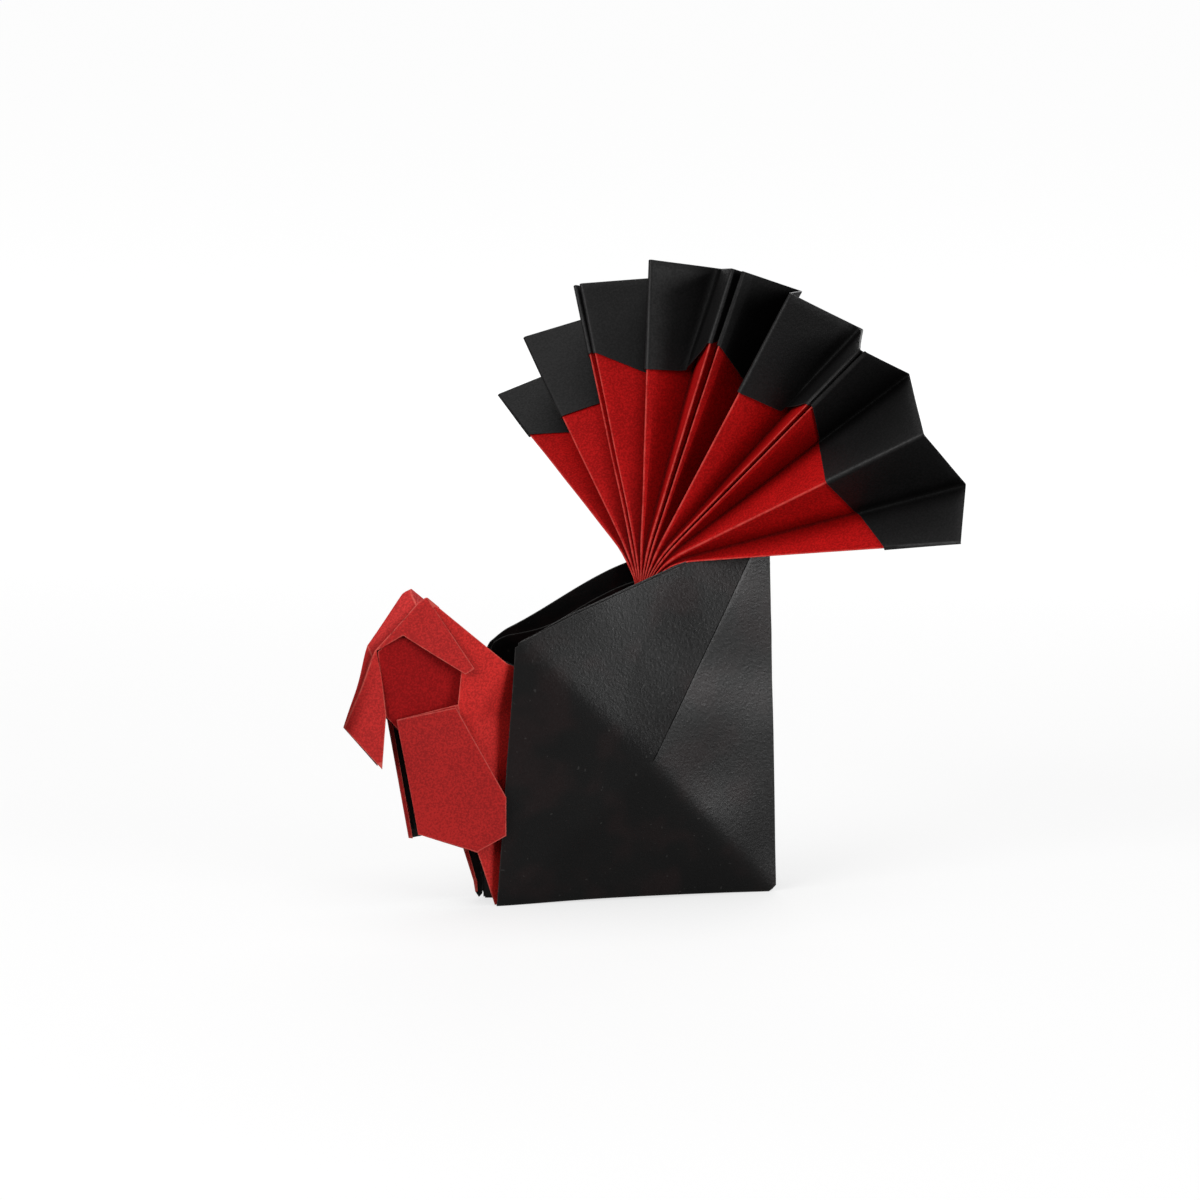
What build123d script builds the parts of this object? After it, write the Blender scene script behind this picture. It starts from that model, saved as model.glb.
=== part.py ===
# Folded paper turkey: one square sheet, red on one face and black on the other, folded into a pleated tail,
# a hollow body that stands on its side walls, and a neck with a crest, a beak and two chest flaps.
# Millimetres, +Z up, the head towards -X. The origin is on the floor, at the middle of the body's rear wall.
import os
from math import acos, atan2, cos, hypot, radians, sin

from build123d import *

# Sheet: one folded layer, with the air that the fold holds
LAYER = 0.3

# Body: side walls that bulge to a belly point, joined by a rear wall, open in front, above and below
BODY_LENGTH = 41.4
BODY_HEIGHT = 48.0
FOOT_WIDTH = 7.2
REAR_WIDTH = 9.6
REAR_RAKE = 1.2
BREAST_HEIGHT = 37.8
BREAST_WIDTH = 10.6
BREAST_RAKE = 2.4
BELLY_HEIGHT = 20.6
BELLY_WIDTH = 17.6
BELLY_FROM_REAR = 20.2
SEAM_FROM_REAR = 4.8
LEVEL_TOP_FROM_REAR = 13.4

# Head and neck corners: how far ahead of the front foot, how far across both halves, how high
CREST = (10.3, 8.8, 44.9)
BROW = (16.8, 4.0, 37.1)
BEAK = (21.3, 0.6, 26.2)
BEAK_FLAP = (15.6, 3.8, 28.0)
CREST_FLAP = (3.6, 10.4, 34.6)
NAPE = (-1.4, 8.4, 35.0)
CHEEK = (5.7, 7.9, 29.4)
CHIN = (15.4, 2.4, 27.6)
CHEST = (14.2, 4.4, 27.3)
CHEST_FLAP = (-0.8, 11.8, 16.1)

# Further corners of those facets, in the side view: how far ahead of the front foot, how high
BEAK_FLAP_FOOT = (16.1, 20.2)
CREST_FLAP_TOE = (4.8, 33.8)
CREST_FLAP_FRONT = (13.2, 39.3)
FACE_TOE = (13.4, 25.4)
FACE_HEEL = (3.4, 27.5)
FACE_REAR = (3.4, 35.0)
FACE_TOP = (10.6, 43.4)
NECK_FRONT = (5.2, 34.2)
LEG = (2.7, 7.8)
TUCK_TOP = (-5.4, 33.0)
TUCK_FOOT = (-5.4, 0.0)
CHEST_FOOT = (11.1, 10.7)
CHEST_FLAP_REAR = (6.2, 29.1)
CHEST_FLAP_HEEL = (-0.9, 10.5)
CHEST_FLAP_TOE = (3.0, 8.1)

# Groove between the crests, with its run down the nape; face inside the neck; width of the tuck's fold
GROOVE_DEPTH = 2.6
GROOVE_RUN = 2.4
FACE_RECESS = 0.85
TUCK_FOLD = 2.0

# Tail fan: pleats that spread from a pinch between the side walls, turned towards the near side
FAN_LENGTH = 43.5
PLEAT_WIDTH = 12.1
VALLEY_EXTRA = 1.1
FAN_FROM_REAR = 18.3
FAN_LEAN = 23.3
FAN_TWIST = 33.5
FAN_PITCH = 11.2
FAN_START = -65.0
PLEAT_OPENINGS = (16.0, 19.7, 0.8, 20.1, 20.8, 1.7, 11.6, 18.7, 0.5, 20.0, 23.0)
VALLEY_SHARES = (0.5, 0.5, 0.5, 0.5, 0.35, 0.5, 0.42, 0.62, 0.5, 0.31, 0.6)
END_TUCK = 6.0

# Hem: the sheet's rim folded forward over the fan, deepest in the middle of each group of six pleats
HEM_DEEP = 15.8
HEM_SHORT = 10.9
HEM_LEAST = 5.9

# Pinch: where the pleats start, and the stack below it with the cross fold that ties it to the side walls
PINCH_WIDTH = 7.4
PINCH_RADIUS = 0.8
STACK_WIDTH = 3.2
STACK_DEPTH = 2.0
STACK_NECKING = 3.0
STACK_HEIGHT = 10.0
CROSS_FOLD_HEIGHT = 6.0
CROSS_FOLD_DROP = 5.0

sheet = []


# One flat facet of the sheet, between its fold corners; extra layers lie on the side the corners run round
def facet(*corners, extra=0):
    first, second, third = corners[:3]
    plane = Plane(origin=first, x_dir=second - first, z_dir=(second - first).cross(third - first))
    outline = [plane.to_local_coords(corner) for corner in corners]
    with BuildPart() as layer:
        with BuildSketch(plane.offset(-LAYER / 2)):
            with BuildLine():
                Polyline([(corner.X, corner.Y) for corner in outline], close=True)
            make_face()
            offset(amount=LAYER / 2, kind=Kind.INTERSECTION, mode=Mode.REPLACE)
        extrude(amount=(1 + extra) * LAYER)
    sheet.append(layer.part)


# The same facet on the near half and on its mirror, the far half
def both_halves(*corners, extra=0):
    facet(*corners, extra=extra)
    facet(*[far(corner) for corner in reversed(corners)], extra=extra)


# A corner of the near half, its mirror, and the point of a flat facet over a place in the side view
def near(x, width, z):
    return Vector(x, -width / 2, z)


def far(corner):
    return Vector(corner.X, -corner.Y, corner.Z)


def on_facet(a, b, c, x, z):
    normal = (b - a).cross(c - a)
    return Vector(x, a.Y - (normal.X * (x - a.X) + normal.Z * (z - a.Z)) / normal.Y, z)


# Body
front_foot = near(-BODY_LENGTH, FOOT_WIDTH, 0)
rear_foot = near(0, REAR_WIDTH, 0)
rear_top = near(-REAR_RAKE, REAR_WIDTH, BODY_HEIGHT)
breast_top = near(BREAST_RAKE - BODY_LENGTH, BREAST_WIDTH, BREAST_HEIGHT)
belly = near(-BELLY_FROM_REAR, BELLY_WIDTH, BELLY_HEIGHT)
seam_top = on_facet(belly, rear_foot, rear_top, -SEAM_FROM_REAR, BODY_HEIGHT)
level_top = on_facet(breast_top, seam_top, belly, -LEVEL_TOP_FROM_REAR, BODY_HEIGHT)
both_halves(breast_top, front_foot, belly)
both_halves(front_foot, rear_foot, belly)
both_halves(rear_foot, rear_top, seam_top, belly)
both_halves(seam_top, level_top, breast_top, belly, extra=1)
facet(far(rear_foot), far(rear_top), rear_top, rear_foot)


# Head and neck corners, and places on the facets that three of them fix
def head(ahead, width, z):
    return near(-BODY_LENGTH - ahead, width, z)


def on_head(a, b, c, place):
    return on_facet(a, b, c, -BODY_LENGTH - place[0], place[1])


crest = head(*CREST)
brow = head(*BROW)
beak = head(*BEAK)
beak_flap = head(*BEAK_FLAP)
crest_flap = head(*CREST_FLAP)
nape = head(*NAPE)
cheek = head(*CHEEK)
chin = head(*CHIN)
chest = head(*CHEST)
chest_flap = head(*CHEST_FLAP)
face = cheek + Vector(0, FACE_RECESS, 0)

# Groove between the crests, crest flap, recessed face and beak flap
groove = Vector(0, CREST[1] / 2, -GROOVE_DEPTH)
brow_groove = brow + groove * (BROW[1] / CREST[1])
crest_rear = crest + (nape - crest).normalized() * GROOVE_RUN
groove_rear = crest_rear + groove * (crest_rear.Y / crest.Y)
both_halves(crest_rear, groove_rear, crest + groove, crest)
both_halves(crest, crest + groove, brow_groove, brow)
both_halves(brow, brow_groove, beak)
flap_toe = on_head(crest, brow, crest_flap, CREST_FLAP_TOE)
flap_front = on_head(crest, brow, crest_flap, CREST_FLAP_FRONT)
both_halves(crest, brow, flap_front, flap_toe, crest_flap)
face_rim = [on_head(brow, chin, face, place) for place in (FACE_TOE, FACE_HEEL, FACE_REAR, FACE_TOP)]
both_halves(brow, chin, *face_rim)
both_halves(brow, beak, on_head(brow, beak, beak_flap, BEAK_FLAP_FOOT), beak_flap)

# Neck down to the leg, tucked into the body and folded out to its side wall
leg = on_head(crest, nape, cheek, LEG)
tuck_top = on_head(crest, nape, cheek, TUCK_TOP)
tuck_foot = on_head(crest, nape, cheek, TUCK_FOOT)
neck_front = on_head(crest, nape, cheek, NECK_FRONT)
neck_foot = on_head(crest, nape, cheek, (0, 0))
both_halves(crest, neck_front, cheek, leg, neck_foot, tuck_foot, tuck_top, nape)
into_wall = Vector(0, LAYER / 2, 0)
wall_top = on_facet(breast_top, front_foot, belly, tuck_top.X + TUCK_FOLD, tuck_top.Z) + into_wall
wall_foot = on_facet(breast_top, front_foot, belly, tuck_foot.X + TUCK_FOLD, tuck_foot.Z) + into_wall
both_halves(tuck_top, tuck_foot, wall_foot, wall_top)

# Chest, folded back outward at its front edge
chest_foot = on_head(cheek, leg, chest, CHEST_FOOT)
both_halves(cheek, chest, chest_foot, leg)
flap_rear = on_head(chest, chest_foot, chest_flap, CHEST_FLAP_REAR)
flap_heel = on_head(chest, chest_foot, chest_flap, CHEST_FLAP_HEEL)
chest_toe = on_head(chest, chest_foot, chest_flap, CHEST_FLAP_TOE)
both_halves(chest, chest_foot, chest_toe, flap_heel, chest_flap, flap_rear)

# Fan frame: x to the far side, y up and z back, turned and pitched about the pinch
twist = radians(FAN_TWIST)
pitch = radians(FAN_PITCH)
fan_far = Vector(-sin(twist), cos(twist), 0)
fan_back = Vector(cos(twist) * cos(pitch), sin(twist) * cos(pitch), sin(pitch))
fan = Plane(origin=(-FAN_FROM_REAR, 0, BODY_HEIGHT), x_dir=fan_far, z_dir=fan_back)


# How far a valley leans back, so that the panels beside it are one pleat wide at the rim
def valley_lean(opening):
    valley = FAN_LENGTH + VALLEY_EXTRA
    apart = (FAN_LENGTH**2 + valley**2 - PLEAT_WIDTH**2) / (2 * FAN_LENGTH * valley)
    rise = sin(radians(FAN_LEAN))
    run = cos(radians(FAN_LEAN)) * cos(radians(opening / 2))
    return atan2(rise, run) + acos(apart / hypot(rise, run))


# Creases from the far end to the near end, each an angle from upright, a lean back and a length;
# the last pleat at each end is tucked back behind its neighbour
angle = FAN_START
end_lean = valley_lean(2 * END_TUCK)
creases = [(angle + END_TUCK, end_lean, FAN_LENGTH + VALLEY_EXTRA)]
for opening, share in zip(PLEAT_OPENINGS, VALLEY_SHARES):
    creases.append((angle, radians(FAN_LEAN), FAN_LENGTH))
    creases.append((angle + share * opening, valley_lean(opening), FAN_LENGTH + VALLEY_EXTRA))
    angle += opening
creases.append((angle, radians(FAN_LEAN), FAN_LENGTH))
creases.append((angle - END_TUCK, end_lean, FAN_LENGTH + VALLEY_EXTRA))

# Root and rim tip of each crease
roots = []
tips = []
for place, (angle, lean, length) in enumerate(creases):
    root = Vector(PINCH_WIDTH * (0.5 - place / (len(creases) - 1)), 0, 0)
    run = Vector(-cos(lean) * sin(radians(angle)), cos(lean) * cos(radians(angle)), sin(lean))
    roots.append(fan.from_local_coords(root))
    tips.append(fan.from_local_coords(root + run * length))

# Fan panels, each with its part of the hem on the front
hem_depths = (HEM_LEAST, HEM_SHORT, HEM_DEEP, HEM_DEEP, HEM_DEEP, HEM_SHORT)
for one in range(len(creases) - 1):
    two = one + 1
    root = (roots[one] + roots[two]) / 2
    run_one = (tips[one] - root).normalized()
    run_two = (tips[two] - root).normalized()
    hem_one = tips[one] - run_one * hem_depths[one % len(hem_depths)]
    hem_two = tips[two] - run_two * hem_depths[two % len(hem_depths)]
    facet(tips[one], tips[two], root + run_two * PINCH_RADIUS, root + run_one * PINCH_RADIUS)
    facet(tips[two], tips[one], hem_one, hem_two, extra=1)

# Cross fold from the pleat stack to the side walls
fold_top = Vector(-FAN_FROM_REAR, 0, BODY_HEIGHT - STACK_NECKING)
fold_foot = fold_top - Vector(0, 0, CROSS_FOLD_HEIGHT)
wall_top = on_facet(breast_top, seam_top, belly, fold_top.X, fold_top.Z - CROSS_FOLD_DROP) + into_wall
wall_foot = on_facet(breast_top, seam_top, belly, fold_top.X, fold_foot.Z - CROSS_FOLD_DROP) + into_wall
both_halves(fold_top, fold_foot, wall_foot, wall_top)

# Pleat stack, necked in below the pinch
with BuildPart() as stack:
    pinch = Plane(origin=fan.origin, x_dir=fan_far, z_dir=(0, 0, 1))
    with BuildSketch(pinch.offset(PINCH_RADIUS)):
        Rectangle(PINCH_WIDTH, STACK_DEPTH)
    with BuildSketch(pinch.offset(-STACK_NECKING)) as stack_neck:
        Rectangle(STACK_WIDTH, STACK_DEPTH)
    loft()
    extrude(stack_neck.sketch, amount=STACK_NECKING - STACK_HEIGHT)

# All facets as one folded sheet, cut level where it stands on the floor
with BuildPart() as folded_sheet:
    add([*sheet, stack.part])
    split(bisect_by=Plane.XY, keep=Keep.TOP)

folded_sheet.part.label = "folded_sheet"
os.makedirs("parts", exist_ok=True)
export_step(folded_sheet.part, "parts/folded_sheet.step")
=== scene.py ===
from math import acos, atan2, cos, hypot, pi, radians, sin

import bmesh
import bpy
import numpy as np
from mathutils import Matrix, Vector, noise


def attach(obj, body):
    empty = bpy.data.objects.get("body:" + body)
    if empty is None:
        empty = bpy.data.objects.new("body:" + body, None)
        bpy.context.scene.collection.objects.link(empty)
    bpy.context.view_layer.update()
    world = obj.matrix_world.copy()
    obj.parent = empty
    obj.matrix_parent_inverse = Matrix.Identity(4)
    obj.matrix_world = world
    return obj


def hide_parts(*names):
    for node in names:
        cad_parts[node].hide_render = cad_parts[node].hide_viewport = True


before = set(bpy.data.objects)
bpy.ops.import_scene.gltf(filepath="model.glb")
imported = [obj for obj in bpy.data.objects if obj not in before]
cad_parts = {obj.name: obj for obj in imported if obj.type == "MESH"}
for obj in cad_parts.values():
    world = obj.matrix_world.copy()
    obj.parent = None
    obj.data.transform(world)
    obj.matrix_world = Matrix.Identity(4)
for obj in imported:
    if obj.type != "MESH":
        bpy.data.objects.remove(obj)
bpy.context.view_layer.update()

MM = 0.001
FAR_AWAY = 50.0

# Layers of paper: thicknesses, fold radii and how finely flat facets are split
PAPER = 0.11
WALL_PAPER = 0.2
FLAP_PAPER = 0.14
FACET_FOLD = 0.3
CROWN_FOLD = 0.6
CHEST_FOLD = 0.2
FOLD_SEGMENTS = 4
LONGEST_EDGE = 0.9
SPLIT_TURNS = 7
CORNER_DIGITS = 4
SHARP_ANGLE = 50.0
SIDE_SET = 3

# Waves of the paper: heights and sizes
FACET_WAVE = 0.1
FACET_WAVE_SIZE = 6.0
WALL_WAVE = 0.22
WALL_WAVE_SIZE = 11.0
FAN_WAVE = 0.12
FAN_WAVE_SIZE = 9.0

# Body, as in the solid
BODY_HEIGHT = 48.0
FRONT_FOOT = (-41.4, -3.6, 0.0)
REAR_FOOT = (0.0, -4.8, 0.0)
REAR_TOP = (-1.2, -4.8, 48.0)
BREAST_TOP = (-39.0, -5.3, 37.8)
BELLY = (-20.2, -8.8, 20.6)
SEAM_TOP_X = -4.8
LEVEL_TOP_X = -13.4

# Body walls, finer than in the solid
CREASE_SOFTNESS = 0.16
CREASE_WEAR = 0.14
SEAM_SHADE = 0.22
CORNER_CUT = 0.9
REAR_WALL_INSET = 0.1
FOOT_ARCH = 0.35
BREAST_NICK = (0.35, 0.3)
FAR_BREAST_X = -40.4
LINING_INSET = 0.5
LINING_GAP = 0.42
WALL_STEPS = 80

# Upper edges of the walls: how far they leave the straight slope, and the spans in X where they do so
EDGE_BEND = 0.4
TAIL_REST = 0.9
NEAR_RISE = 0.4
NEAR_RISE_SPAN = (-39.0, -30.0)
FAR_RISE = 1.9
FAR_RISE_SPAN = (-38.0, -21.0)
FAR_TIP_DROP = 0.9
FAR_TIP_SPAN = (-41.0, -37.0)
NEAR_LINING_RISE = 0.28
NEAR_LINING_SPAN = (-36.0, -31.0)
FAR_LINING_GAP = 0.15
FAR_LINING_DROP = 3.0
FAR_LINING_SPAN = (-41.5, -29.0)

# Flaps along the seam of each wall, and under each a near-black strip that peeks out past its edge as a
# painted shadow
FLAP_WIDTH = 13.0
FLAP_REACH = 0.3
FLAP_LIFT = 0.24
SHADOW_STRIP_REACH = 0.46
SHADOW_STRIP_LIFT = 0.14
FLAP_SUNK = 0.03
BELLY_SUNK = 0.16
FLAP_WEAR = 0.05
FLAP_ROWS = 60
FLAP_COLUMNS = 26

# Head and neck: corners of the near half
CREST = (-51.7, -4.4, 44.9)
BROW = (-58.2, -2.0, 37.1)
BEAK = (-62.7, -0.3, 26.2)
BEAK_FLAP = (-57.0, -1.9, 28.0)
CREST_FLAP = (-45.0, -5.2, 34.6)
NAPE = (-40.0, -4.2, 35.0)
CHEEK = (-47.1, -3.95, 29.4)
FACE = (-47.1, -2.4, 29.4)
CHIN = (-56.8, -1.2, 27.6)
CHEST = (-55.6, -2.2, 27.3)
CHEST_FLAP = (-40.6, -5.9, 16.1)
GROOVE_DEPTH = 2.6
GROOVE_RUN = 2.4
BEAK_NICK = (0.15, 0.0, -0.1)
# Painted shade beside the crown's grooves: how much faster it fades than in a valley
SLOT_DARKNESS = 2.4

# Head and neck: places of their outlines in the side view, as X and Z
FLAP_TOE = (-46.2, 33.8)
FLAP_FRONT = (-54.6, 39.3)
BEAK_FOOT = (-57.5, 20.2)
FACE_RIM = ((-54.8, 25.4), (-44.8, 27.5), (-44.8, 35.0), (-52.0, 43.4))
LEG = (-44.1, 7.8)
NECK_FRONT = (-46.6, 34.2)
NECK_FOOT = (-41.4, 0.0)
TUCK_FOOT = (-36.0, 0.0)
TUCK_TOP = (-36.0, 33.0)
CHEST_FOOT = (-52.5, 10.7)
CHEST_REAR = (-47.6, 29.1)
CHEST_HEEL = (-40.5, 10.5)
CHEST_LOW = (-44.4, 8.1)

# Swollen crests: heights, radius, and the spans along a crest's length where the swelling begins and ends
NEAR_SWELL = 0.4
FAR_SWELL = 0.65
SWELL_RADIUS = 2.0
SWELL_START = (-0.02, 0.14)
SWELL_END = (1.0, 1.7)

# Inward turn of the neck's rear: its crease in the side view, and how far and how fast it goes in
TUCK_SLOPE = 0.6
TUCK_LOW = (-44.6, 27.3)
TUCK_LOW_SLOPE = 0.05
TUCK_DEPTH = 2.6
TUCK_TURN = 0.16
TUCK_CURVE = 0.06

# Narrow layers on the far half: depth, then the outline in the side view
CHEST_ROLL_Y = 1.75
CHEST_ROLL = ((-56.0, 27.0), (-55.3, 27.0), (-52.3, 9.4), (-52.9, 9.5))
CHEST_INSIDE_Y = 1.95
CHEST_INSIDE = ((-55.3, 26.9), (-53.5, 26.0), (-50.9, 9.7), (-52.4, 9.5))
FAR_LEG_Y = 2.4
FAR_LEG = (
    (-44.7, 7.4), (-42.5, 7.4), (-41.75, 2.3), (-41.9, 0.7), (-42.4, 0.2), (-42.95, 1.05), (-43.2, 2.65),
)
LEG_ROLL_Y = 2.2
LEG_ROLL = (
    (-44.75, 7.5), (-44.1, 7.5), (-42.75, 2.6), (-42.65, 1.1), (-42.98, 1.05), (-43.25, 2.65),
)

# Tail fan, as in the solid
FAN_LENGTH = 43.5
PLEAT_WIDTH = 12.1
VALLEY_EXTRA = 1.1
FAN_FROM_REAR = 18.3
FAN_LEAN = 23.3
FAN_TWIST = 33.5
FAN_PITCH = 11.2
FAN_START = -65.0
PLEAT_OPENINGS = (16.0, 19.7, 0.8, 20.1, 20.8, 1.7, 11.6, 18.7, 0.5, 20.0, 23.0)
VALLEY_SHARES = (0.5, 0.5, 0.5, 0.5, 0.35, 0.5, 0.42, 0.62, 0.5, 0.31, 0.6)
END_TUCK = 6.0
HEM_DEEP = 15.8
HEM_SHORT = 10.9
HEM_LEAST = 5.9
PINCH_WIDTH = 7.4
STACK_WIDTH = 3.2
STACK_NECKING = 3.0
STACK_HEIGHT = 10.0
STACK_PLEAT = 0.7

# Tail fan, finer than in the solid: trimmed tips by crease, fold radii, the hem's gap and two lifted valleys
RIM_TRIMS = {0: 2.4, 18: 1.8, 24: 2.4}
RIM_RADIUS = 0.1
ROOT_BEND = 4.5
MOUNTAIN_FOLD = 0.3
VALLEY_FOLD = 0.35
FOLD_SHARE = 0.42
HEM_MOUNTAIN_FOLD = 0.4
HEM_VALLEY_FOLD = 1.2
HEM_LIFTED_FOLD = 2.2
HEM_GAP = (0.2, 0.3)
LIFTED_VALLEYS = [10, 16]
LIFT_HEIGHT = 0.9
LIFT_WIDTH = 0.45
LIFT_CURVE = 1.5
OPEN_PANEL = 8.0
SHADE_LIMITS = (0.3, 1.6)

# Rows and columns of the fan's mesh
STACK_SHARES = (0, 0.5)
BEND_ROWS = 8
SHEET_ROWS = 24
HEM_ROWS = 14
RIM_STEPS = 6
PANEL_STEPS = 5
FOLD_STEPS = 6

# Cross fold that ties the stack of pleats to the walls
CROSS_FOLD_HEIGHT = 6.0
CROSS_FOLD_DROP = 5.0

# Surface of the paper: sizes of its patterns, the noise levels they spread over, and the reach of each mark
SPECKLE_SIZE = 0.3
CLOUD_SIZE = 9.0
BREAK_SIZE = 1.3
BLOTCH_SIZE = 8.0
DUST_SIZE = 0.5
FIBRE_SIZE = 0.5
FIBRE_HEIGHT = 0.05
SPECKLE_SHARE = 0.8
CLOUD_SHARE = 0.2
MOTTLE_SPAN = (0.41, 0.6)
BLOTCH_SPAN = (0.46, 0.66)
DUST_SPAN = (0.8, 0.84)
DUST_COLOUR = (0.16, 0.155, 0.15)
BREAK_SPAN = (0.3, 0.62)
LEAST_WEAR = 0.25
ROUGHNESS_SPAN = (0.3, 0.7)
ROUGHNESS_CHANGE = 0.06
RIDGE_REACH = (0.2, 0.04)
RIM_REACH = (0.18, 0.03)
# Painted shade: beside grooves and deep in valleys the paper is darkened and its sheen dulled, where shade
# falls
GROOVE_REACH = (0.5, 0.05)
GROOVE_SHARE = 0.7
GROOVE_SHADE = (0.25, 0.25, 0.25)
VALLEY_REACH = (5.5, 0.0)
VALLEY_SHADE = (0.12, 0.1, 0.1)

# Floor and world: the floor's glow to the camera grows outward, and a contact shadow is painted into it
# where the bird stands close
FLOOR_HALF = 8000.0
FLOOR_GREY = (0.2, 0.2, 0.2, 1.0)
FLOOR_ROUGHNESS = 0.9
FLOOR_SHINE = 0.1
GLOW_NEAR = 100.0
GLOW_FAR = 900.0
GLOW_LEVELS = (0.805, 0.965)
PAINTED_SHADOW_REACH = 30.0
PAINTED_SHADOW_SAMPLES = 3
PAINTED_SHADOW_SPAN = (0.3, 1.0)
PAINTED_SHADOW_LEVELS = (0.86, 1.0)
WHITE = (1.0, 1.0, 1.0, 1.0)
WORLD_LIGHT = 0.06
WORLD_SEEN = 0.975

# Camera of the photograph
CAMERA_AZIMUTH = -16.5
CAMERA_ELEVATION = 8.5
CAMERA_TARGET = (-25.03, 0.0, 42.79)
CAMERA_DISTANCE = 748.0
CAMERA_LENS = 157.5
CAMERA_SENSOR = 36.0
CAMERA_CLIP = 10.0


def point(*place):
    return np.array(place, float)


NEAR_OUT = point(0, -1, 0)


def far(places):
    """The same corner or points on the far half."""
    return places * point(1, -1, 1)


def turned(faces):
    """The same mesh faces, looking the other way."""
    return [face[::-1] for face in faces]


def facet_y(a, b, c, x, z):
    """Y of the flat facet through a, b and c over places in the side view."""
    normal = np.cross(b - a, c - a)
    return a[1] - (normal[0] * (x - a[0]) + normal[2] * (z - a[2])) / normal[1]


def on_facet(a, b, c, x, z):
    """The point of the flat facet through a, b and c over a place in the side view."""
    return point(x, facet_y(a, b, c, x, z), z)


def unit(vector):
    return vector / np.linalg.norm(vector, axis=-1, keepdims=True)


def smooth(value, low, high):
    """A soft step from 0 at the low value to 1 at the high one."""
    share = np.clip((value - low) / (high - low), 0, 1)
    return share**2 * (3 - 2 * share)


def bezier(a, b, c, share):
    return (1 - share) ** 2 * a + 2 * share * (1 - share) * b + share**2 * c


def line_distance(points, a, b):
    """How far each point is from the straight line between a and b."""
    along = np.clip((points - a) @ (b - a) / ((b - a) @ (b - a)), 0, 1)
    return np.linalg.norm(points - a - along[:, None] * (b - a), axis=1)


def nearest_line(points, lines):
    """How far each point is from the nearest of some straight lines."""
    found = np.full(len(points), FAR_AWAY)
    for a, b in lines:
        found = np.minimum(found, line_distance(points, a, b))
    return found


def warp(points, normals, height, size):
    """Lets flat paper wave a little, by the same smooth field all over the bird."""
    waves = [noise.noise(Vector(place) / size) for place in points]
    return points + normals * (height * np.array(waves))[:, None]


# Materials


class Nodes:
    """A material's node tree, with short calls for the nodes that the papers use."""

    def __init__(self, name):
        self.material = bpy.data.materials.new(name)
        self.material.use_nodes = True
        self.tree = self.material.node_tree
        self.shader = self.tree.nodes["Principled BSDF"]
        place = self.tree.nodes.new("ShaderNodeTexCoord")
        self.place = place.outputs["Object"]

    def link(self, value, socket):
        if isinstance(value, bpy.types.NodeSocket):
            self.tree.links.new(value, socket)
        else:
            socket.default_value = value

    def noise(self, size, detail=3.0, roughness=0.55):
        node = self.tree.nodes.new("ShaderNodeTexNoise")
        node.inputs["Scale"].default_value = 1 / (size * MM)
        node.inputs["Detail"].default_value = detail
        node.inputs["Roughness"].default_value = roughness
        self.link(self.place, node.inputs["Vector"])
        return node.outputs["Fac"]

    def attribute(self, name):
        node = self.tree.nodes.new("ShaderNodeAttribute")
        node.attribute_name = name
        return node.outputs["Fac"]

    def spread(self, value, low, high, to_low=0.0, to_high=1.0):
        node = self.tree.nodes.new("ShaderNodeMapRange")
        node.interpolation_type = "SMOOTHSTEP"
        self.link(value, node.inputs["Value"])
        node.inputs["From Min"].default_value = low
        node.inputs["From Max"].default_value = high
        node.inputs["To Min"].default_value = to_low
        node.inputs["To Max"].default_value = to_high
        return node.outputs["Result"]

    def math(self, operation, a, b):
        node = self.tree.nodes.new("ShaderNodeMath")
        node.operation = operation
        self.link(a, node.inputs[0])
        self.link(b, node.inputs[1])
        return node.outputs[0]

    def mix(self, share, a, b, blend="MIX"):
        node = self.tree.nodes.new("ShaderNodeMix")
        node.data_type = "RGBA"
        node.blend_type = blend
        self.link(share, node.inputs["Factor"])
        for value, name in ((a, "A"), (b, "B")):
            socket = next(s for s in node.inputs if s.name == name and s.type == "RGBA")
            self.link(value if isinstance(value, bpy.types.NodeSocket) else (*value, 1.0), socket)
        return next(s for s in node.outputs if s.type == "RGBA")

    def bump(self, height, strength, depth):
        node = self.tree.nodes.new("ShaderNodeBump")
        node.inputs["Strength"].default_value = strength
        node.inputs["Distance"].default_value = depth * MM
        self.link(height, node.inputs["Height"])
        self.link(node.outputs["Normal"], self.shader.inputs["Normal"])


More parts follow.
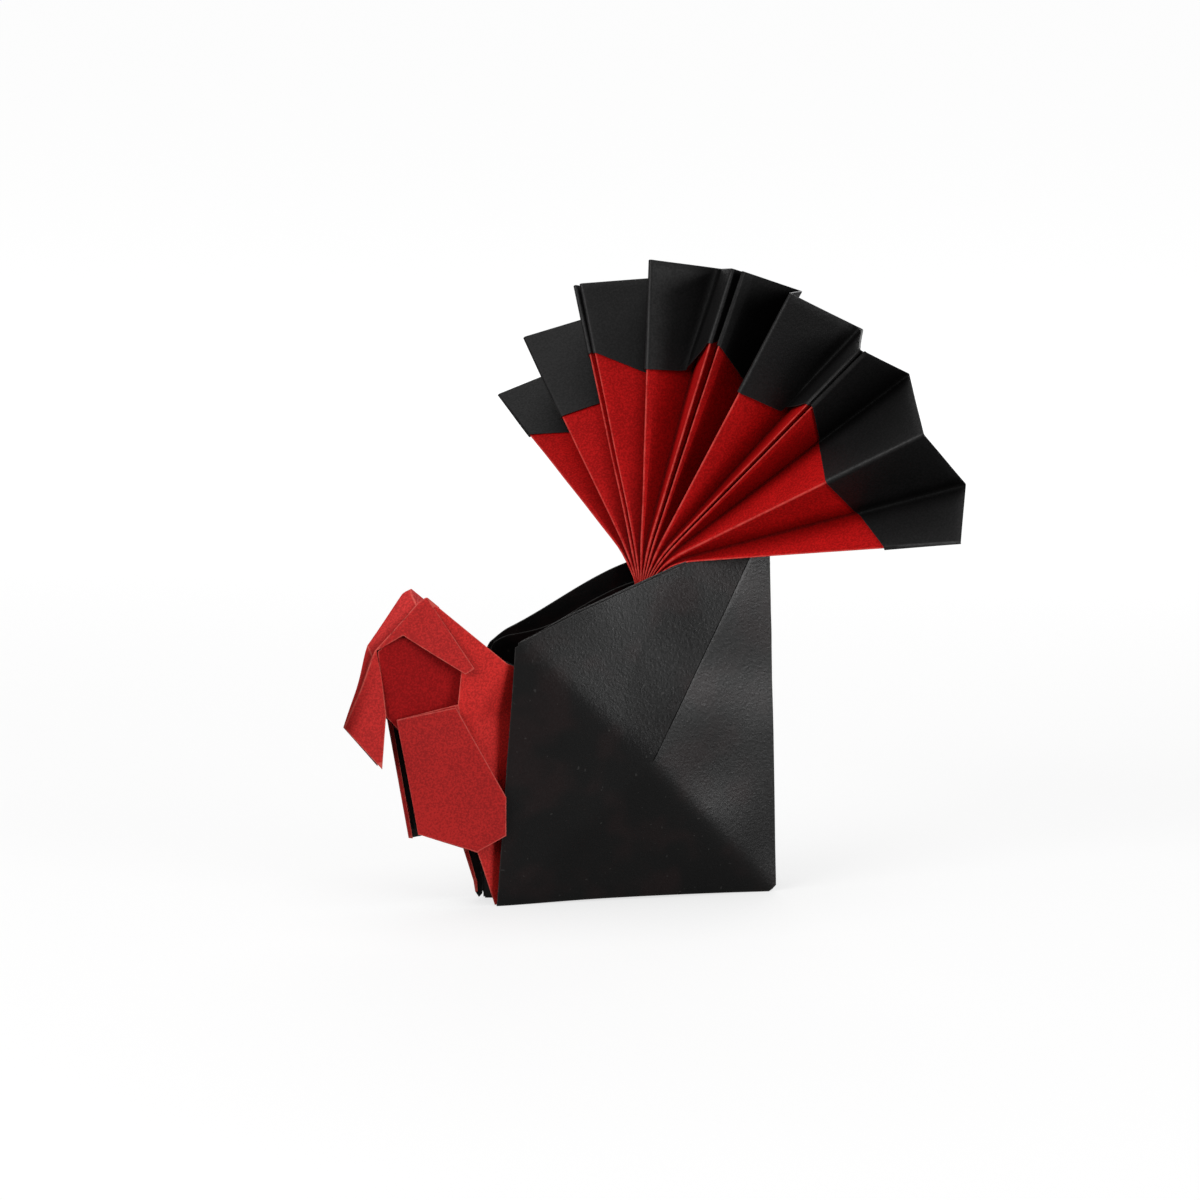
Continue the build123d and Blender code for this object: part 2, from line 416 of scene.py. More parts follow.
def paper(name, deep, main, worn, wear, rough, shine, grain=0.35, blotch=None, dust=0.0, painted_shade=0.7):
    """Matte coloured paper: fine speckle, slow clouds, pale worn folds and cut edges, and a fibre bump.

    Painted shade is how far it is darkened and dulled deep in a valley, where shade falls; with it, the
    paper is also darkened beside a groove. It is 0 for paper without grooves or valleys.
    """
    nodes = Nodes(name)
    speckle = nodes.noise(SPECKLE_SIZE, detail=4, roughness=0.65)
    clouds = nodes.noise(CLOUD_SIZE, detail=3)
    breaks = nodes.noise(BREAK_SIZE, detail=4, roughness=0.7)
    fine = nodes.math("MULTIPLY", speckle, SPECKLE_SHARE)
    slow = nodes.math("MULTIPLY", clouds, CLOUD_SHARE)
    colour = nodes.mix(nodes.spread(nodes.math("ADD", fine, slow), *MOTTLE_SPAN), deep, main)
    if blotch:
        blotches = nodes.noise(BLOTCH_SIZE, detail=2)
        colour = nodes.mix(nodes.spread(blotches, *BLOTCH_SPAN), colour, blotch)
    if dust:
        specks = nodes.spread(nodes.noise(DUST_SIZE, detail=0), *DUST_SPAN, 0.0, dust)
        colour = nodes.mix(specks, colour, DUST_COLOUR)
    ridge = nodes.spread(nodes.attribute("ridge"), *RIDGE_REACH)
    rim = nodes.spread(nodes.attribute("rim"), *RIM_REACH)
    rubbed = nodes.math("MAXIMUM", ridge, rim)
    rubbed = nodes.math("MULTIPLY", rubbed, nodes.spread(breaks, *BREAK_SPAN, LEAST_WEAR, 1.0))
    colour = nodes.mix(nodes.math("MULTIPLY", rubbed, wear), colour, worn)
    gloss = shine
    # Painted shade: darker and duller beside grooves and deep in valleys
    if painted_shade:
        groove = nodes.spread(nodes.attribute("groove"), *GROOVE_REACH, 0.0, GROOVE_SHARE)
        colour = nodes.mix(groove, colour, GROOVE_SHADE, blend="MULTIPLY")
        depth = nodes.spread(nodes.attribute("valley"), *VALLEY_REACH, 0.0, painted_shade)
        colour = nodes.mix(depth, colour, VALLEY_SHADE, blend="MULTIPLY")
        open_share = nodes.math("SUBTRACT", 1.0, nodes.math("MAXIMUM", depth, groove))
        gloss = nodes.math("MULTIPLY", open_share, shine)
    roughness = nodes.spread(speckle, *ROUGHNESS_SPAN, rough + ROUGHNESS_CHANGE, rough - ROUGHNESS_CHANGE)
    nodes.link(colour, nodes.shader.inputs["Base Color"])
    nodes.link(roughness, nodes.shader.inputs["Roughness"])
    nodes.link(gloss, nodes.shader.inputs["Specular IOR Level"])
    nodes.bump(nodes.math("ADD", speckle, nodes.noise(FIBRE_SIZE, detail=5)), grain, FIBRE_HEIGHT)
    return nodes.material


RED = paper(
    "red_paper", deep=(0.44, 0.007, 0.006), main=(0.68, 0.016, 0.013), worn=(0.8, 0.16, 0.12),
    wear=0.65, rough=0.75, shine=0.5,
)
# A darker, duller copy of the red paper for the fan's front: painted shade for the shade the fan lies in
SHADED_FAN_RED = paper(
    "shaded_fan_red_paper", deep=(0.36, 0.001, 0.001), main=(0.58, 0.004, 0.004), worn=(0.8, 0.1, 0.08),
    wear=0.65, rough=0.7, shine=0.15,
)
# A darker copy of the red paper for the recessed face: painted shade
SHADED_FACE_RED = paper(
    "shaded_face_red_paper", deep=(0.3, 0.002, 0.003), main=(0.45, 0.005, 0.006), worn=(0.8, 0.12, 0.1),
    wear=0.6, rough=0.75, shine=0.2, painted_shade=0.0,
)
BLACK = paper(
    "black_paper", deep=(0.002, 0.002, 0.002), main=(0.005, 0.0046, 0.0046), worn=(0.05, 0.048, 0.046),
    wear=0.5, rough=0.33, shine=0.54, grain=0.5, blotch=(0.0105, 0.0056, 0.0056), dust=0.16,
)
HEM_BLACK = paper(
    "hem_black_paper", deep=(0.002, 0.002, 0.002), main=(0.008, 0.0075, 0.0078), worn=(0.04, 0.038, 0.038),
    wear=0.3, rough=0.5, shine=0.3, grain=0.6,
)
# A darker copy of the red paper for the chest: painted shade
SHADED_CHEST_RED = paper(
    "shaded_chest_red_paper", deep=(0.35, 0.005, 0.005), main=(0.55, 0.012, 0.01), worn=(0.8, 0.15, 0.12),
    wear=0.65, rough=0.75, shine=0.4, painted_shade=0.0,
)
# A lighter copy of the red paper for the neck: painted light
LIT_NECK_RED = paper(
    "lit_neck_red_paper", deep=(0.52, 0.009, 0.007), main=(0.8, 0.019, 0.014), worn=(0.85, 0.16, 0.12),
    wear=0.65, rough=0.7, shine=0.4, painted_shade=0.0,
)
# Near-black without sheen: painted shadow, for the flaps' cut edges and the strips under them
SHADOW_BLACK = paper(
    "painted_shadow_black", deep=(0.0006, 0.0006, 0.0006), main=(0.001, 0.001, 0.001), worn=(0.002, 0.002, 0.002),
    wear=0.2, rough=0.9, shine=0.0, painted_shade=0.0,
)
BACK_BLACK = paper(
    "fan_back_paper", deep=(0.003, 0.003, 0.003), main=(0.008, 0.0075, 0.0075), worn=(0.05, 0.048, 0.046),
    wear=0.3, rough=0.42, shine=0.4, painted_shade=0.25,
)
RED_EDGE = paper(
    "red_cut_edge", deep=(0.42, 0.03, 0.03), main=(0.62, 0.09, 0.07), worn=(0.7, 0.14, 0.11),
    wear=0.4, rough=0.8, shine=0.4,
)
BLACK_EDGE = paper(
    "black_cut_edge", deep=(0.012, 0.012, 0.012), main=(0.03, 0.029, 0.029), worn=(0.06, 0.058, 0.056),
    wear=0.4, rough=0.7, shine=0.4,
)
red_outside = (RED, BLACK, RED_EDGE)
all_red = (RED, RED, RED_EDGE)
all_black = (BLACK, BLACK, BLACK_EDGE)


# Pieces of paper


def paper_piece(name, points, faces, lines, sides, thickness=PAPER, face_sides=None):
    """A layer of the sheet: its middle surface given thickness, its first side where the faces look.

    Lines holds the distances from ridges, grooves, rims and valleys. Sides are sets of front, back and edge.
    """
    mesh = bpy.data.meshes.new(name)
    mesh.from_pydata((np.asarray(points) * MM).tolist(), [], faces)
    for label in ("ridge", "groove", "rim", "valley"):
        distances = lines.get(label, np.full(len(points), FAR_AWAY))
        attribute = mesh.attributes.new(label, "FLOAT", "POINT")
        attribute.data.foreach_set("value", np.asarray(distances, np.float32))
    for material in sides:
        mesh.materials.append(material)
    if face_sides is not None:
        mesh.polygons.foreach_set("material_index", face_sides)
    piece = bpy.data.objects.new(name, mesh)
    bpy.context.scene.collection.objects.link(piece)
    solid = piece.modifiers.new("thickness", "SOLIDIFY")
    solid.thickness = thickness * MM
    solid.offset = 0
    solid.material_offset = 1
    solid.material_offset_rim = 2
    final = bpy.data.meshes.new_from_object(piece.evaluated_get(bpy.context.evaluated_depsgraph_get()))
    final.name = name
    # No layer goes below the floor
    places = np.empty(3 * len(final.vertices), np.float32)
    final.vertices.foreach_get("co", places)
    places[2::3] = np.maximum(places[2::3], 0)
    final.vertices.foreach_set("co", places)
    piece.modifiers.clear()
    piece.data = final
    final.shade_smooth()
    final.set_sharp_from_angle(angle=radians(SHARP_ANGLE))
    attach(piece, "root")
    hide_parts("folded_sheet")


def grid_faces(rows, columns):
    corner = np.arange(rows * columns).reshape(rows, columns)
    quads = [corner[:-1, :-1], corner[:-1, 1:], corner[1:, 1:], corner[1:, :-1]]
    return np.stack(quads, -1).reshape(-1, 4).tolist()


def refine(mesh):
    """Splits a bmesh into triangles, halving the edges over the longest length a few times."""
    bmesh.ops.triangulate(mesh, faces=mesh.faces)
    for _ in range(SPLIT_TURNS):
        long_edges = [edge for edge in mesh.edges if edge.calc_length() > LONGEST_EDGE]
        bmesh.ops.subdivide_edges(mesh, edges=long_edges, cuts=1)
        bmesh.ops.triangulate(mesh, faces=[face for face in mesh.faces if len(face.verts) > 3])


def facet_piece(
    name, facets, sides, fold=FACET_FOLD, waves=FACET_WAVE, mirrored=False, doubled=(), shape=None, slots=()
):
    """Flat facets that share fold corners, with rounded folds.

    Doubled facets show the first colour on both sides. Slots are lines beside which shade is painted into
    the paper.
    """
    mesh = bmesh.new()
    marks = mesh.faces.layers.int.new("doubled")
    corners = {}
    for place, facet in enumerate(facets):
        ring = []
        for corner in facet:
            key = tuple(np.round(corner, CORNER_DIGITS))
            if key not in corners:
                corners[key] = mesh.verts.new(key)
            ring.append(corners[key])
        face = mesh.faces.new(ring)
        face[marks] = int(place in doubled)
    folds = [edge for edge in mesh.edges if len(edge.link_faces) == 2]
    edges = [edge for edge in mesh.edges if len(edge.link_faces) == 1]
    fold_lines = [[point(*v.co) for v in edge.verts] for edge in folds]
    cut_lines = [[point(*v.co) for v in edge.verts] for edge in edges]
    bmesh.ops.bevel(
        mesh, geom=folds, affect="EDGES",
        offset=fold, segments=FOLD_SEGMENTS, profile=0.5, clamp_overlap=True,
    )
    refine(mesh)
    mesh.normal_update()
    points = np.array([v.co for v in mesh.verts])
    normals = np.array([v.normal for v in mesh.verts])
    faces = [[v.index for v in face.verts] for face in mesh.faces]
    face_sides = [SIDE_SET * face[marks] for face in mesh.faces]
    mesh.free()
    lines = {"ridge": nearest_line(points, fold_lines), "rim": nearest_line(points, cut_lines)}
    # Painted shade beside the slots
    if slots:
        lines["valley"] = SLOT_DARKNESS * nearest_line(points, slots)
    points = warp(points, normals, waves, FACET_WAVE_SIZE)
    if shape:
        points = shape(points)
    if mirrored:
        points = far(points)
        faces = turned(faces)
    first, second, edge = sides
    both_sets = (first, second, edge, first, first, edge)
    paper_piece(name, points, faces, lines, both_sets, face_sides=face_sides)


def both_halves(name, facets, sides, **options):
    facet_piece(name + "_near", facets, sides, **options)
    facet_piece(name + "_far", facets, sides, mirrored=True, **options)


# Body walls

front_foot = point(*FRONT_FOOT)
rear_foot = point(*REAR_FOOT)
rear_top = point(*REAR_TOP)
breast_top = point(*BREAST_TOP)
belly = point(*BELLY)
seam_top = on_facet(belly, rear_foot, rear_top, SEAM_TOP_X, BODY_HEIGHT)
level_top = on_facet(breast_top, seam_top, belly, LEVEL_TOP_X, BODY_HEIGHT)
front_facet = (breast_top, front_foot, belly)
bottom_facet = (front_foot, rear_foot, belly)
rear_facet = (rear_foot, rear_top, belly)
upper_facet = (breast_top, seam_top, belly)


def soft_depth(x, z, last_facet):
    """How far out the front and bottom facets and one other stand, with soft creases where they meet."""
    depths = np.array([-facet_y(*facet, x, z) for facet in (front_facet, bottom_facet, last_facet)])
    return -CREASE_SOFTNESS * np.log(np.exp(-depths / CREASE_SOFTNESS).sum(axis=0))


def flap_depth(x, z):
    """The bulged wall in front of the seam, carried on past it."""
    return soft_depth(x, z, upper_facet)


def wall_depth(x, z):
    """The bulged wall, with a sharp crease at the seam between its rear and upper facets."""
    return np.minimum(flap_depth(x, z), soft_depth(x, z, rear_facet))


def soft_least(a, b):
    """The lower of two heights, with a soft bend where they meet."""
    return -EDGE_BEND * np.log(np.exp(-a / EDGE_BEND) + np.exp(-b / EDGE_BEND))


def slope_height(x):
    """Height of the straight slope from the breast to where the upper edge is level."""
    slope = (BODY_HEIGHT - breast_top[2]) / (level_top[0] - breast_top[0])
    return breast_top[2] + slope * (x - breast_top[0])


def near_edge(x):
    """The near wall's upper edge: a slope from the breast, then level under the tail."""
    rise = NEAR_RISE * smooth(x, *NEAR_RISE_SPAN)
    return soft_least(slope_height(x) + rise, BODY_HEIGHT + TAIL_REST)


def far_edge(x):
    """The far wall's upper edge, which stands higher and runs forward to a tip."""
    drop = FAR_TIP_DROP * (1 - smooth(x, *FAR_TIP_SPAN))
    rise = FAR_RISE * smooth(x, *FAR_RISE_SPAN)
    return soft_least(slope_height(x) - drop + rise, BODY_HEIGHT)


def near_lining_edge(x):
    return near_edge(x) + NEAR_LINING_RISE * smooth(x, *NEAR_LINING_SPAN)


def far_lining_edge(x):
    return far_edge(x) - FAR_LINING_GAP - FAR_LINING_DROP * smooth(x, *FAR_LINING_SPAN)


def wall_piece(name, edge, breast_x, mirrored=False, inset=0.0, within=0.0):
    """A bulged side wall, or the layer that lines it, which stands within it."""
    across, up = np.meshgrid(np.linspace(0, 1, WALL_STEPS), np.linspace(0, 1, WALL_STEPS))
    front = front_foot[0] + inset + (breast_x - front_foot[0]) * up
    rear = rear_foot[0] + (rear_top[0] - rear_foot[0]) * up
    x = front + (rear - front) * across
    foot = np.maximum(CORNER_CUT - (rear - x), 0) + FOOT_ARCH * np.sin(pi * across)
    z = edge(x) * up + foot * (1 - up) ** 3
    x[-1, 0] += BREAST_NICK[0]
    z[-1, 0] -= BREAST_NICK[1]
    depth = wall_depth(x, z) - within
    grid = np.stack([x, -depth, z], -1)
    points = grid.reshape(-1, 3)
    rim = np.full(x.shape, FAR_AWAY)
    for line in (grid[:1], grid[-1:], grid[:, :1], grid[:, -1:]):
        rim = np.minimum(rim, np.linalg.norm(grid - line, axis=2))
    creases = [(belly, front_foot), (belly, rear_foot), (belly, breast_top)]
    lines = {"rim": rim.ravel(), "ridge": CREASE_WEAR + nearest_line(points, creases)}
    # Painted shadow: the wall is darkened along the seam, beside the flap's edge
    if not within:
        lines["groove"] = SEAM_SHADE + line_distance(points, belly, seam_top)
    points = warp(points, NEAR_OUT, WALL_WAVE, WALL_WAVE_SIZE)
    faces = grid_faces(WALL_STEPS, WALL_STEPS)
    if mirrored:
        points = far(points)
        faces = turned(faces)
    paper_piece(name, points, faces, lines, all_black, thickness=WALL_PAPER)


lining = {"inset": LINING_INSET, "within": LINING_GAP}
wall_piece("body_wall_near", near_edge, breast_top[0])
wall_piece("body_wall_far", far_edge, FAR_BREAST_X, mirrored=True)
wall_piece("body_lining_near", near_lining_edge, breast_top[0], **lining)
wall_piece("body_lining_far", far_lining_edge, FAR_BREAST_X, mirrored=True, **lining)


def wall_flap(name, edge, beyond, lift, outside, mirrored=False):
    """A layer over the upper facet, with its cut edge from the belly to the top of the seam."""
    row_shares = np.linspace(0, 1, FLAP_ROWS)
    column_shares = np.linspace(0, 1, FLAP_COLUMNS)
    along, away = np.meshgrid(row_shares, column_shares, indexing="ij")
    x = belly[0] + (seam_top[0] - belly[0]) * along - FLAP_WIDTH * away + beyond
    z = belly[2] + (edge(seam_top[0]) - belly[2]) * along
    z = np.minimum(z, edge(x))
    height = FLAP_SUNK + (lift - FLAP_SUNK) * (1 - away) ** 2 - FLAP_SUNK * away**3
    height = height - BELLY_SUNK * (1 - along) ** 6
    depth = flap_depth(x, z) + height
    points = np.stack([x, -depth, z], -1).reshape(-1, 3)
    lines = {"rim": FLAP_WEAR + line_distance(points, points[0], points[-FLAP_COLUMNS])}
    points = warp(points, NEAR_OUT, WALL_WAVE, WALL_WAVE_SIZE)
    faces = turned(grid_faces(FLAP_ROWS, FLAP_COLUMNS))
    if mirrored:
        points = far(points)
        faces = turned(faces)
    # The cut edge is near-black: painted shadow
    paper_piece(name, points, faces, lines, (outside, BLACK, SHADOW_BLACK), thickness=FLAP_PAPER)


wall_flap("body_flap_near", near_edge, FLAP_REACH, FLAP_LIFT, BLACK)
wall_flap("body_flap_far", far_edge, FLAP_REACH, FLAP_LIFT, BLACK, mirrored=True)
# Near-black strips just past the flaps' edges: painted shadow
wall_flap("body_flap_shadow_strip_near", near_edge, SHADOW_STRIP_REACH, SHADOW_STRIP_LIFT, SHADOW_BLACK)
wall_flap("body_flap_shadow_strip_far", far_edge, SHADOW_STRIP_REACH, SHADOW_STRIP_LIFT, SHADOW_BLACK, mirrored=True)

rear_low = rear_foot + point(-REAR_WALL_INSET, 0, CORNER_CUT)
rear_wall = (rear_low, far(rear_low), far(rear_top), rear_top)
facet_piece("body_rear_wall", [rear_wall], all_black)


# Head and neck

crest = point(*CREST)
brow = point(*BROW)
beak = point(*BEAK)
beak_flap = point(*BEAK_FLAP)
crest_flap = point(*CREST_FLAP)
nape = point(*NAPE)
cheek = point(*CHEEK)
face = point(*FACE)
chin = point(*CHIN)
chest = point(*CHEST)
chest_flap = point(*CHEST_FLAP)

crest_groove = crest + point(0, -crest[1], -GROOVE_DEPTH)
brow_groove = brow + (crest_groove - crest) * (brow[1] / crest[1])
beak_groove = beak * point(1, 0, 1) + point(*BEAK_NICK)
flap_toe = on_facet(crest, brow, crest_flap, *FLAP_TOE)
flap_front = on_facet(crest, brow, crest_flap, *FLAP_FRONT)
beak_foot = on_facet(brow, beak, beak_flap, *BEAK_FOOT)
crest_rear = crest + unit(nape - crest) * GROOVE_RUN
groove_rear = crest_rear + point(0, -crest_rear[1], -GROOVE_DEPTH)
near_crown = [
    (crest, brow, flap_front, flap_toe, crest_flap),
    (crest_rear, groove_rear, crest_groove, crest),
    (crest, crest_groove, brow_groove, brow),
    (brow, brow_groove, beak_groove, beak),
    (brow, beak, beak_foot, beak_flap),
]
far_crown = [tuple(far(corner) for corner in facet[::-1]) for facet in near_crown]
# Lines along the crown's grooves, beside which shade is painted
crown_slots = [(groove_rear, crest_groove), (crest_groove, brow_groove), (brow_groove, beak_groove)]


def swell_crests(points):
    """Rounds the two crests outward, the far one more."""
    across = brow - crest
    for start, run, height in ((crest, across, NEAR_SWELL), (far(crest), far(across), FAR_SWELL)):
        along = (points - start) @ run / (run @ run)
        off = np.linalg.norm(points - start - along[:, None] * run, axis=1)
        swell = height * smooth(along, *SWELL_START) * (1 - smooth(along, *SWELL_END))
        swell = swell * np.exp(-((off / SWELL_RADIUS) ** 2))
        points = points + swell[:, None] * unit(point(across[2], 0, -across[0]))
    return points


crown = near_crown + far_crown
facet_piece("crown", crown, red_outside, fold=CROWN_FOLD, shape=swell_crests, slots=crown_slots)

face_rim = [on_facet(brow, chin, face, x, z) for x, z in FACE_RIM]
both_halves("face", [(brow, chin, *face_rim)], (SHADED_FACE_RED, BLACK, RED_EDGE))

leg = on_facet(crest, nape, cheek, *LEG)
neck_front = on_facet(crest, nape, cheek, *NECK_FRONT)
neck_foot = on_facet(crest, nape, cheek, *NECK_FOOT)
tuck_foot = on_facet(crest, nape, cheek, *TUCK_FOOT)
tuck_top = on_facet(crest, nape, cheek, *TUCK_TOP)
neck = (crest, neck_front, cheek, leg, neck_foot, tuck_foot, tuck_top, nape)


def tuck_in(points):
    """Turns the rear of the neck inward behind a soft crease that runs forward from the nape."""
    x, z = points[:, 0], points[:, 2]
    upper_crease = nape[0] - TUCK_SLOPE * (nape[2] - z)
    lower_crease = TUCK_LOW[0] + TUCK_LOW_SLOPE * (TUCK_LOW[1] - z)
    past = np.maximum(x - np.maximum(upper_crease, lower_crease), 0)
    depth = TUCK_DEPTH * (1 - np.exp(-(TUCK_TURN * past + TUCK_CURVE * past**2) / TUCK_DEPTH))
    return points + depth[:, None] * point(0, 1, 0)


both_halves("neck", [neck], (LIT_NECK_RED, BLACK, RED_EDGE), shape=tuck_in)

chest_foot = on_facet(cheek, leg, chest, *CHEST_FOOT)
chest_rear = on_facet(chest, chest_foot, chest_flap, *CHEST_REAR)
chest_heel = on_facet(chest, chest_foot, chest_flap, *CHEST_HEEL)
chest_low = on_facet(chest, chest_foot, chest_flap, *CHEST_LOW)
chest_facets = [
    (cheek, chest, chest_foot, leg),
    (chest, chest_rear, chest_flap, chest_heel, chest_low, chest_foot),
]
both_halves("chest", chest_facets, (SHADED_CHEST_RED, BLACK, RED_EDGE), fold=CHEST_FOLD, doubled=(1,))


def side_piece(name, places, y, sides):
    """A narrow flat layer, given by its outline in the side view."""
    facet_piece(name, [tuple(point(x, y, z) for x, z in places)], sides, waves=0.0)


side_piece("chest_roll", CHEST_ROLL, CHEST_ROLL_Y, all_red)
side_piece("chest_inside", CHEST_INSIDE, CHEST_INSIDE_Y, all_black)
side_piece("far_leg", FAR_LEG, FAR_LEG_Y, all_black)
side_piece("far_leg_roll", LEG_ROLL, LEG_ROLL_Y, all_red)


# Tail fan


def valley_lean(opening):
    """How far a valley leans back, so that the panels beside it are one pleat wide at the rim."""
    valley = FAN_LENGTH + VALLEY_EXTRA
    apart = (FAN_LENGTH**2 + valley**2 - PLEAT_WIDTH**2) / (2 * FAN_LENGTH * valley)
    rise = sin(radians(FAN_LEAN))
    run = cos(radians(FAN_LEAN)) * cos(radians(opening / 2))
    return atan2(rise, run) + acos(apart / hypot(rise, run))


def fan_creases():
    """Each crease from the far end to the near end: angle from upright, lean back and length."""
    angle = FAN_START
    valley = FAN_LENGTH + VALLEY_EXTRA
    creases = [(angle + END_TUCK, valley_lean(2 * END_TUCK), valley)]
    for opening, share in zip(PLEAT_OPENINGS, VALLEY_SHARES):
        creases.append((angle, radians(FAN_LEAN), FAN_LENGTH))
        creases.append((angle + share * opening, valley_lean(opening), valley))
        angle += opening
    creases.append((angle, radians(FAN_LEAN), FAN_LENGTH))
    creases.append((angle - END_TUCK, valley_lean(2 * END_TUCK), valley))
    return creases


twist = radians(FAN_TWIST)
pitch = radians(FAN_PITCH)
fan_far = point(-sin(twist), cos(twist), 0)
fan_back = point(cos(twist) * cos(pitch), sin(twist) * cos(pitch), sin(pitch))
fan_up = np.cross(fan_back, fan_far)
fan_root = point(-FAN_FROM_REAR, 0, BODY_HEIGHT)


def crease_run(angle, lean):
    """The way that a crease runs from the pinch to the rim."""
    sideways = -cos(lean) * sin(radians(angle)) * fan_far
    upward = cos(lean) * cos(radians(angle)) * fan_up
    return sideways + upward + sin(lean) * fan_back


creases = fan_creases()
count = len(creases)
mountain = np.arange(count) % 2 == 1
spread = 0.5 - np.arange(count) / (count - 1)
roots = fan_root + PINCH_WIDTH * spread[:, None] * fan_far
runs = np.array([crease_run(angle, lean) for angle, lean, length in creases])
lengths = np.array([length for angle, lean, length in creases])
for place, trim in RIM_TRIMS.items():
    lengths[place] -= trim
tips = roots + runs * lengths[:, None]
hem_pattern = (HEM_LEAST, HEM_SHORT, HEM_DEEP, HEM_DEEP, HEM_DEEP, HEM_SHORT)
hem_depths = np.array([hem_pattern[place % len(hem_pattern)] for place in range(count)])
hem_ends = tips - runs * hem_depths[:, None]
level_back = unit(fan_back * point(1, 1, 0))
stack_side = STACK_WIDTH * spread[:, None] * fan_far
stack_zigzag = STACK_PLEAT * np.where(mountain, -1, 1)[:, None] * level_back
stack_neck = fan_root - point(0, 0, STACK_NECKING) + (stack_side + stack_zigzag)
stack_foot = fan_root - point(0, 0, STACK_HEIGHT) + (stack_side + stack_zigzag)


def section(corners, rounding):
    """A zigzag through the fold corners with rounded folds.

    It gives the places along it, and how far each is from its ridge and from its groove.
    """
    places = [corners[0]]
    ridge = [FAR_AWAY]
    groove = [FAR_AWAY]
    start = corners[0]
    for one in range(count - 1):
        two = one + 1
        width = np.linalg.norm(corners[two] - corners[one])
        last = two == count - 1
        cut = 0 if last else min(rounding[two] / width, FOLD_SHARE)
        end = corners[two] + (corners[one] - corners[two]) * cut
        high, low = (corners[two], corners[one]) if mountain[two] else (corners[one], corners[two])
        for step in range(1, PANEL_STEPS + 1):
            place = start + (end - start) * step / (PANEL_STEPS + 1)
            places.append(place)
            ridge.append(np.linalg.norm(place - high))
            groove.append(np.linalg.norm(place - low))
        if last:
            break
        width = np.linalg.norm(corners[two + 1] - corners[two])
        cut = min(rounding[two] / width, FOLD_SHARE)
        start = corners[two] + (corners[two + 1] - corners[two]) * cut
        middle = (end + 2 * corners[two] + start) / 4
        for step in range(FOLD_STEPS + 1):
            place = bezier(end, corners[two], start, step / FOLD_STEPS)
            places.append(place)
            off = np.linalg.norm(place - middle)
            ridge.append(off if mountain[two] else FAR_AWAY)
            groove.append(FAR_AWAY if mountain[two] else off)
    places.append(corners[-1])
    ridge.append(FAR_AWAY)
    groove.append(FAR_AWAY)
    return places, ridge, groove


def sections(crease_rows, rounding):
    """Zigzags along the creases, as grids of places, ridge distances and groove distances."""
    rows = [section(corners, rounding) for corners in crease_rows]
    places, ridge, groove = zip(*rows)
    return np.array(places), np.array(ridge), np.array(groove)


def fan_sheet():
    """The pleated sheet from the stack up to the rim."""
    bend_end = roots + runs * ROOT_BEND
    crease_rows = [stack_foot + (stack_neck - stack_foot) * share for share in STACK_SHARES]
    crease_rows += [bezier(stack_neck, roots, bend_end, share) for share in np.linspace(0, 1, BEND_ROWS)]
    crease_rows += [bend_end + (tips - bend_end) * share for share in np.linspace(0, 1, SHEET_ROWS)[1:]]
    return sections(crease_rows, np.where(mountain, MOUNTAIN_FOLD, VALLEY_FOLD))


def fan_hem():
    """The hem in front of the sheet, and the ways outward and forward at the rim."""
    rounding = np.where(mountain, HEM_MOUNTAIN_FOLD, HEM_VALLEY_FOLD)
    rounding[LIFTED_VALLEYS] = HEM_LIFTED_FOLD
    down_shares = np.linspace(0, 1, HEM_ROWS)
    crease_rows = [tips + (hem_ends - tips) * share for share in down_shares]
    hem, ridge, groove = sections(crease_rows, rounding)
    across = np.gradient(hem, axis=1)
    down = np.gradient(hem, axis=0)
    forward = unit(np.cross(down, across))
    columns = hem.shape[1]
    pitch_columns = (columns - 1) / (count - 1)
    gap = np.linspace(*HEM_GAP, HEM_ROWS)[:, None]
    for valley in LIFTED_VALLEYS:
        beside = (np.arange(columns) - valley * pitch_columns) / (LIFT_WIDTH * pitch_columns)
        gap = gap + LIFT_HEIGHT * down_shares[:, None] ** LIFT_CURVE * np.exp(-(beside**2))
    return hem + forward * gap[:, :, None], ridge, groove, -unit(down[0]), forward[0]


